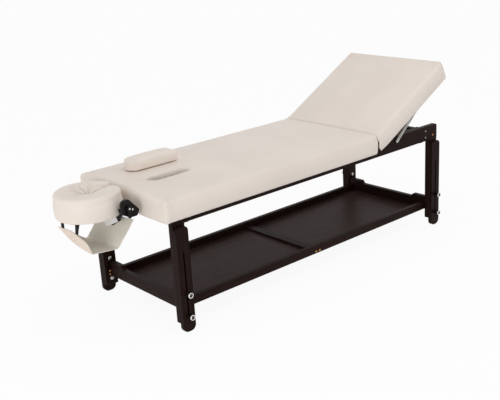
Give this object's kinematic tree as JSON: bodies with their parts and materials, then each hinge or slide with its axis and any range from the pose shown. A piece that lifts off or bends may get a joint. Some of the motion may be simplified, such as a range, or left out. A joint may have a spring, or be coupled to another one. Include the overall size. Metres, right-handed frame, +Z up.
{
  "type": "massage table",
  "caption": "Wooden massage table with a padded vinyl top, face hole, lift backrest on telescopic struts, clamped sliding legs, storage shelf, face headrest and hanging arm sling.",
  "frame": {"origin": "on the floor, below the middle of the whole table", "axes": "+X from the headrest to the backrest, +Y to the far side, +Z up"},
  "size_m": [2.3559, 0.762, 0.9578],
  "materials": {
    "dark_wood": "satin dark stain",
    "shelf_board": "satin dark laminate",
    "plywood": "raw plywood",
    "cream_vinyl": "soft matt vinyl",
    "webbing": "black webbing",
    "black_plastic": "black",
    "steel": "bright zinc",
    "aluminium": "satin",
    "yellow_zinc": "yellow zinc"
  },
  "bodies": {
    "frame": {"side_rail_near": "dark_wood", "side_rail_far": "dark_wood", "shelf_rail_near": "dark_wood", "shelf_rail_far": "dark_wood", "deck_cleat_near": "dark_wood", "deck_cleat_far": "dark_wood", "end_rail_head": "dark_wood", "end_rail_foot": "dark_wood", "shelf_end_head": "dark_wood", "shelf_end_foot": "dark_wood", "shelf_crossbar": "dark_wood", "post_head_near": "dark_wood", "post_head_far": "dark_wood", "post_foot_near": "dark_wood", "post_foot_far": "dark_wood", "shelf_panel": "shelf_board", "deck": "plywood", "mattress": "cream_vinyl", "hinge_leaves_deck": "steel", "hinge_pins": "steel", "leg_bolts": "steel", "yellow_screws": "yellow_zinc", "grey_screws": "steel", "strut_bolts": "steel", "rod_sleeves": "yellow_zinc"},
    "backrest": {"backrest_cushion": "cream_vinyl", "backrest_board": "plywood", "hinge_leaves_backrest": "steel", "strut_top_plates": "steel"},
    "strut_tube_near": {"strut_tube_near": "aluminium"},
    "strut_bar_near": {"strut_bar_near": "aluminium"},
    "strut_tube_far": {"strut_tube_far": "aluminium"},
    "strut_bar_far": {"strut_bar_far": "aluminium"},
    "leg_head_near": {"leg_head_near": "dark_wood"},
    "leg_head_far": {"leg_head_far": "dark_wood"},
    "leg_foot_near": {"leg_foot_near": "dark_wood"},
    "leg_foot_far": {"leg_foot_far": "dark_wood"},
    "knob_head_near_lower": {"knob_head_near_lower": "black_plastic"},
    "knob_head_near_upper": {"knob_head_near_upper": "black_plastic"},
    "knob_head_far_lower": {"knob_head_far_lower": "black_plastic"},
    "knob_head_far_upper": {"knob_head_far_upper": "black_plastic"},
    "knob_foot_near_lower": {"knob_foot_near_lower": "black_plastic"},
    "knob_foot_near_upper": {"knob_foot_near_upper": "black_plastic"},
    "knob_foot_far_lower": {"knob_foot_far_lower": "black_plastic"},
    "knob_foot_far_upper": {"knob_foot_far_upper": "black_plastic"},
    "headrest_slide": {"headrest_yoke": "black_plastic", "headrest_rods": "steel", "headrest_pins": "steel"},
    "headrest_tilt": {"headrest_plate": "black_plastic", "face_pillow": "cream_vinyl", "arm_sling": "cream_vinyl", "sling_straps": "webbing"},
    "cam_lever": {"cam_lever": "black_plastic"},
    "plug": {"plug_pillow": "cream_vinyl"}
  },
  "joints": [
    {"name": "backrest_hinge", "type": "hinge", "parent": "frame", "child": "backrest", "pos_m": [0.55903, 0, 0.6115], "axis": [0, -1, 0], "range_deg": [-28.5, 16.5]},
    {"name": "strut_turn_near", "type": "hinge", "parent": "frame", "child": "strut_tube_near", "pos_m": [0.73803, -0.334, 0.581], "axis": [0, -1, 0], "range_deg": [-39.69, 23.61]},
    {"name": "strut_slide_near", "type": "slide", "parent": "strut_tube_near", "child": "strut_bar_near", "axis": [0.7521, 0, 0.6591], "range_m": [-0.0557, 0.0331]},
    {"name": "strut_turn_far", "type": "hinge", "parent": "frame", "child": "strut_tube_far", "pos_m": [0.73803, 0.334, 0.581], "axis": [0, -1, 0], "range_deg": [-39.69, 23.61]},
    {"name": "strut_slide_far", "type": "slide", "parent": "strut_tube_far", "child": "strut_bar_far", "axis": [0.7521, 0, 0.6591], "range_m": [-0.0557, 0.0331]},
    {"name": "leg_slide_head_near", "type": "slide", "parent": "frame", "child": "leg_head_near", "axis": [0, 0, -1], "range_m": [0, 0.2]},
    {"name": "knob_turn_head_near_lower", "type": "hinge", "parent": "frame", "child": "knob_head_near_lower", "pos_m": [-0.76997, -0.365, 0.078], "axis": [0, -1, 0], "continuous": true},
    {"name": "knob_turn_head_near_upper", "type": "hinge", "parent": "frame", "child": "knob_head_near_upper", "pos_m": [-0.76997, -0.365, 0.188], "axis": [0, -1, 0], "continuous": true},
    {"name": "leg_slide_head_far", "type": "slide", "parent": "frame", "child": "leg_head_far", "axis": [0, 0, -1], "range_m": [0, 0.2]},
    {"name": "knob_turn_head_far_lower", "type": "hinge", "parent": "frame", "child": "knob_head_far_lower", "pos_m": [-0.76997, 0.365, 0.078], "axis": [0, 1, 0], "continuous": true},
    {"name": "knob_turn_head_far_upper", "type": "hinge", "parent": "frame", "child": "knob_head_far_upper", "pos_m": [-0.76997, 0.365, 0.188], "axis": [0, 1, 0], "continuous": true},
    {"name": "leg_slide_foot_near", "type": "slide", "parent": "frame", "child": "leg_foot_near", "axis": [0, 0, -1], "range_m": [0, 0.2]},
    {"name": "knob_turn_foot_near_lower", "type": "hinge", "parent": "frame", "child": "knob_foot_near_lower", "pos_m": [1.06403, -0.365, 0.078], "axis": [0, -1, 0], "continuous": true},
    {"name": "knob_turn_foot_near_upper", "type": "hinge", "parent": "frame", "child": "knob_foot_near_upper", "pos_m": [1.06403, -0.365, 0.188], "axis": [0, -1, 0], "continuous": true},
    {"name": "leg_slide_foot_far", "type": "slide", "parent": "frame", "child": "leg_foot_far", "axis": [0, 0, -1], "range_m": [0, 0.2]},
    {"name": "knob_turn_foot_far_lower", "type": "hinge", "parent": "frame", "child": "knob_foot_far_lower", "pos_m": [1.06403, 0.365, 0.078], "axis": [0, 1, 0], "continuous": true},
    {"name": "knob_turn_foot_far_upper", "type": "hinge", "parent": "frame", "child": "knob_foot_far_upper", "pos_m": [1.06403, 0.365, 0.188], "axis": [0, 1, 0], "continuous": true},
    {"name": "headrest_slide", "type": "slide", "parent": "frame", "child": "headrest_slide", "axis": [-1, 0, 0], "range_m": [0, 0.12]},
    {"name": "headrest_tilt", "type": "hinge", "parent": "headrest_slide", "child": "headrest_tilt", "pos_m": [-0.92797, 0, 0.606], "axis": [0, 1, 0], "range_deg": [-15, 15]},
    {"name": "cam_lever_turn", "type": "hinge", "parent": "headrest_slide", "child": "cam_lever", "pos_m": [-0.92797, -0.19, 0.606], "axis": [0, 1, 0], "range_deg": [0, 90]},
    {"name": "plug_lift", "type": "slide", "parent": "frame", "child": "plug", "axis": [0, 0, 1], "range_m": [0, 0.25]}
  ],
  "couplings": [
    {"joint": "strut_turn_near", "follows": "backrest_hinge", "ratio": 1.34},
    {"joint": "strut_slide_near", "follows": "backrest_hinge", "m_per_rad": 0.108},
    {"joint": "strut_turn_far", "follows": "backrest_hinge", "ratio": 1.34},
    {"joint": "strut_slide_far", "follows": "backrest_hinge", "m_per_rad": 0.108}
  ]
}
